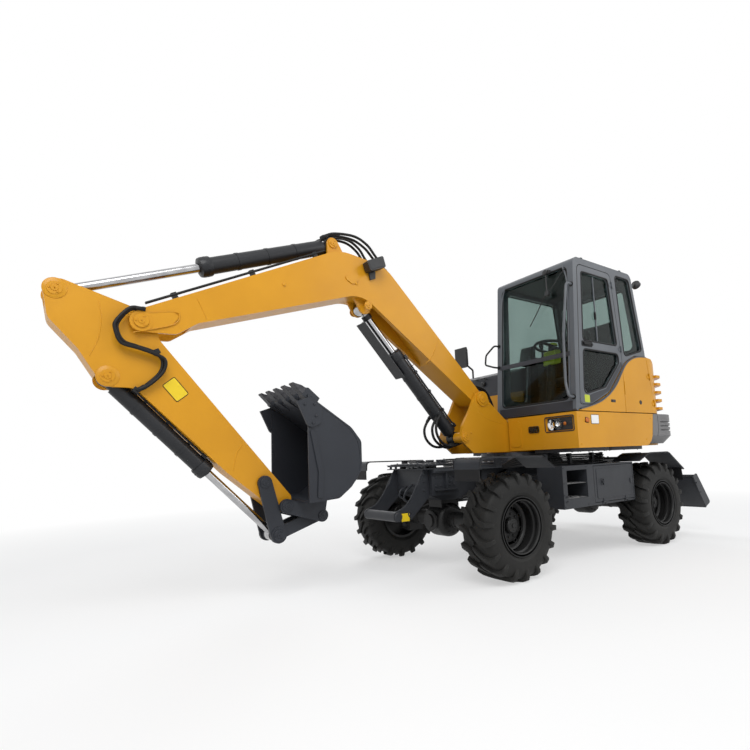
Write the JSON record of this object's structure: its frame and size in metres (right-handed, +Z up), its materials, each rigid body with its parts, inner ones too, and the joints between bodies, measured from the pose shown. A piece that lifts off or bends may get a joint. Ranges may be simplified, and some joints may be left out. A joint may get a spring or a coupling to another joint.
{
  "type": "wheeled excavator",
  "caption": "Small wheeled excavator with a left-hand cab, gooseneck boom, arm and toothed bucket, rear dozer blade and jointed cylinders.",
  "frame": {"origin": "on the ground, under the centre of the machine's outline", "axes": "+Y to the rear of the machine, along its length, +X to its left, +Z up"},
  "size_m": [1.9445, 6.061, 2.7854],
  "materials": {
    "yellow_paint": "gloss enamel",
    "slate_paint": "satin enamel",
    "black_paint": "satin enamel",
    "cab_paint": "satin enamel",
    "weight_paint": "satin enamel",
    "steel": "machined",
    "chrome_rod": "hard chrome",
    "tyre_rubber": "matt rubber",
    "cab_glass": "clear tinted",
    "seat_cloth": "woven",
    "trim_plastic": "grained",
    "lamp_glass": "clear lens",
    "engine_iron": "cast"
  },
  "bodies": {
    "undercarriage": {"chassis_frame": "slate_paint", "front_cradle": "slate_paint", "front_deck": "slate_paint", "fenders": "slate_paint", "step_box_left": "slate_paint", "step_box_right": "slate_paint", "front_axle": "black_paint", "rear_axle": "black_paint", "drive_line": "black_paint", "slew_ring": "steel"},
    "knuckle_left": {"knuckle_left": "black_paint"},
    "knuckle_right": {"knuckle_right": "black_paint"},
    "wheel_front_left": {"tyre_front_left": "tyre_rubber", "rim_front_left": "black_paint"},
    "wheel_front_right": {"tyre_front_right": "tyre_rubber", "rim_front_right": "black_paint"},
    "wheel_rear_left": {"tyre_rear_left": "tyre_rubber", "rim_rear_left": "black_paint"},
    "wheel_rear_right": {"tyre_rear_right": "tyre_rubber", "rim_rear_right": "black_paint"},
    "toolbox_door_left": {"toolbox_door_left": "slate_paint"},
    "toolbox_door_right": {"toolbox_door_right": "slate_paint"},
    "blade": {"dozer_blade": "slate_paint"},
    "blade_ram_barrel": {"blade_cylinder_barrel": "black_paint"},
    "blade_ram_rod": {"blade_cylinder_rod": "chrome_rod"},
    "superstructure": {"turntable": "yellow_paint", "left_cover": "yellow_paint", "body_skirts": "yellow_paint", "headlamp": "lamp_glass", "right_cover": "yellow_paint", "right_case": "cab_paint", "right_mirror": "black_paint", "handrails": "black_paint", "counterweight": "weight_paint", "engine_bulkhead": "yellow_paint", "engine_block": "engine_iron", "cab_frame": "cab_paint", "cab_glass": "cab_glass", "operator_seat": "seat_cloth", "cab_controls": "trim_plastic"},
    "cab_door": {"cab_door": "cab_paint", "door_glass": "cab_glass"},
    "side_door": {"side_door": "yellow_paint"},
    "hood": {"engine_hood": "yellow_paint"},
    "boom": {"boom": "yellow_paint", "boom_pipes": "black_paint", "boom_lamp": "black_paint"},
    "boom_ram_barrel": {"boom_cylinder_barrel": "black_paint"},
    "boom_ram_rod": {"boom_cylinder_rod": "chrome_rod", "boom_rod_guard": "black_paint"},
    "arm": {"arm": "yellow_paint"},
    "arm_ram_barrel": {"arm_cylinder_barrel": "black_paint"},
    "arm_ram_rod": {"arm_cylinder_rod": "chrome_rod"},
    "bucket_ram_barrel": {"bucket_cylinder_barrel": "black_paint"},
    "bucket_ram_rod": {"bucket_cylinder_rod": "chrome_rod"},
    "guide_links": {"guide_links": "slate_paint"},
    "bucket_link": {"bucket_link": "slate_paint"},
    "bucket": {"bucket": "slate_paint"}
  },
  "joints": [
    {"name": "spin_front_left", "type": "hinge", "parent": "knuckle_left", "child": "wheel_front_left", "pos_m": [0.787, -0.05457, 0.415], "axis": [1, 0, 0], "continuous": true},
    {"name": "spin_front_right", "type": "hinge", "parent": "knuckle_right", "child": "wheel_front_right", "pos_m": [-0.787, -0.05457, 0.415], "axis": [1, 0, 0], "continuous": true},
    {"name": "spin_rear_left", "type": "hinge", "parent": "undercarriage", "child": "wheel_rear_left", "pos_m": [0.787, 2.06543, 0.415], "axis": [1, 0, 0], "continuous": true},
    {"name": "spin_rear_right", "type": "hinge", "parent": "undercarriage", "child": "wheel_rear_right", "pos_m": [-0.787, 2.06543, 0.415], "axis": [1, 0, 0], "continuous": true},
    {"name": "steer_left", "type": "hinge", "parent": "undercarriage", "child": "knuckle_left", "pos_m": [0.588, -0.05457, 0.415], "axis": [0, 0, 1], "range_deg": [-28, 28]},
    {"name": "steer_right", "type": "hinge", "parent": "undercarriage", "child": "knuckle_right", "pos_m": [-0.588, -0.05457, 0.415], "axis": [0, 0, 1], "range_deg": [-28, 28]},
    {"name": "slew", "type": "hinge", "parent": "undercarriage", "child": "superstructure", "pos_m": [0, 1.00543, 1], "axis": [0, 0, 1], "continuous": true},
    {"name": "open_cab_door", "type": "hinge", "parent": "superstructure", "child": "cab_door", "pos_m": [0.9675, 1.46096, 1.93], "axis": [0, -0.1047, 0.9945], "range_deg": [0, 100]},
    {"name": "open_side_door", "type": "hinge", "parent": "superstructure", "child": "side_door", "pos_m": [0.9725, 1.98834, 1.42], "axis": [0, -0.1933, 0.9811], "range_deg": [0, 100]},
    {"name": "open_hood", "type": "hinge", "parent": "superstructure", "child": "hood", "pos_m": [0, 1.91043, 1.896], "axis": [1, 0, 0], "range_deg": [0, 55]},
    {"name": "open_toolbox_left", "type": "hinge", "parent": "undercarriage", "child": "toolbox_door_left", "pos_m": [0.8795, 1.30543, 0.5025], "axis": [0, 1, 0], "range_deg": [0, 100]},
    {"name": "open_toolbox_right", "type": "hinge", "parent": "undercarriage", "child": "toolbox_door_right", "pos_m": [-0.8795, 1.30543, 0.5025], "axis": [0, -1, 0], "range_deg": [0, 100]},
    {"name": "lift_blade", "type": "hinge", "parent": "undercarriage", "child": "blade", "pos_m": [0, 2.35043, 0.59], "axis": [1, 0, 0], "range_deg": [-45, 8]},
    {"name": "blade_ram_tilt", "type": "hinge", "parent": "undercarriage", "child": "blade_ram_barrel", "pos_m": [0, 2.23543, 0.8], "axis": [1, 0, 0], "range_deg": [-30, 8]},
    {"name": "blade_ram_stroke", "type": "slide", "parent": "blade_ram_barrel", "child": "blade_ram_rod", "axis": [0, 0.8906, -0.4548], "range_m": [-0.03, 0.08]},
    {"name": "lift_boom", "type": "hinge", "parent": "superstructure", "child": "boom", "pos_m": [0, 0.34343, 1.503], "axis": [-1, 0, 0], "range_deg": [-50, 40]},
    {"name": "boom_ram_tilt", "type": "hinge", "parent": "superstructure", "child": "boom_ram_barrel", "pos_m": [0, 0.10543, 1.137], "axis": [-1, 0, 0], "range_deg": [-50, 42]},
    {"name": "boom_ram_stroke", "type": "slide", "parent": "boom_ram_barrel", "child": "boom_ram_rod", "axis": [0, -0.6611, 0.7503], "range_m": [-0.36, 0.29]},
    {"name": "swing_arm", "type": "hinge", "parent": "boom", "child": "arm", "pos_m": [0, -2.53157, 1.887], "axis": [1, 0, 0], "range_deg": [-90, 8]},
    {"name": "arm_ram_tilt", "type": "hinge", "parent": "boom", "child": "arm_ram_barrel", "pos_m": [0, -1.15457, 2.729], "axis": [1, 0, 0], "range_deg": [-8, 2]},
    {"name": "arm_ram_stroke", "type": "slide", "parent": "arm_ram_barrel", "child": "arm_ram_rod", "axis": [0, -0.9342, -0.3567], "range_m": [-0.66, 0.06]},
    {"name": "curl_bucket", "type": "hinge", "parent": "arm", "child": "bucket", "pos_m": [0, -1.60157, 0.669], "axis": [1, 0, 0], "range_deg": [-150, 0]},
    {"name": "guide_turn", "type": "hinge", "parent": "arm", "child": "guide_links", "pos_m": [0, -1.74657, 0.84], "axis": [1, 0, 0], "range_deg": [-100.5, 1]},
    {"name": "link_turn", "type": "hinge", "parent": "guide_links", "child": "bucket_link", "pos_m": [0, -1.65257, 0.473], "axis": [1, 0, 0], "range_deg": [-1, 32.3]},
    {"name": "bucket_ram_tilt", "type": "hinge", "parent": "arm", "child": "bucket_ram_barrel", "pos_m": [0, -2.69857, 1.534], "axis": [1, 0, 0], "range_deg": [-12.1, 1]},
    {"name": "bucket_ram_stroke", "type": "slide", "parent": "bucket_ram_barrel", "child": "bucket_ram_rod", "axis": [0, 0.7021, -0.7121], "range_m": [-0.552, 0.01]}
  ],
  "couplings": [
    {"joint": "steer_right", "follows": "steer_left", "ratio": 1},
    {"joint": "blade_ram_tilt", "follows": "lift_blade", "ratio": 0.612},
    {"joint": "blade_ram_stroke", "follows": "lift_blade", "m_per_rad": -0.095},
    {"joint": "boom_ram_tilt", "follows": "lift_boom", "ratio": 0.9463},
    {"joint": "boom_ram_stroke", "follows": "lift_boom", "m_per_rad": 0.4006},
    {"joint": "arm_ram_tilt", "follows": "swing_arm", "ratio": 0.0748},
    {"joint": "arm_ram_stroke", "follows": "swing_arm", "m_per_rad": 0.4086},
    {"joint": "guide_turn", "follows": "curl_bucket", "ratio": 0.663},
    {"joint": "link_turn", "follows": "curl_bucket", "ratio": -0.2088},
    {"joint": "bucket_ram_tilt", "follows": "curl_bucket", "ratio": 0.0743},
    {"joint": "bucket_ram_stroke", "follows": "curl_bucket", "m_per_rad": 0.2072}
  ]
}
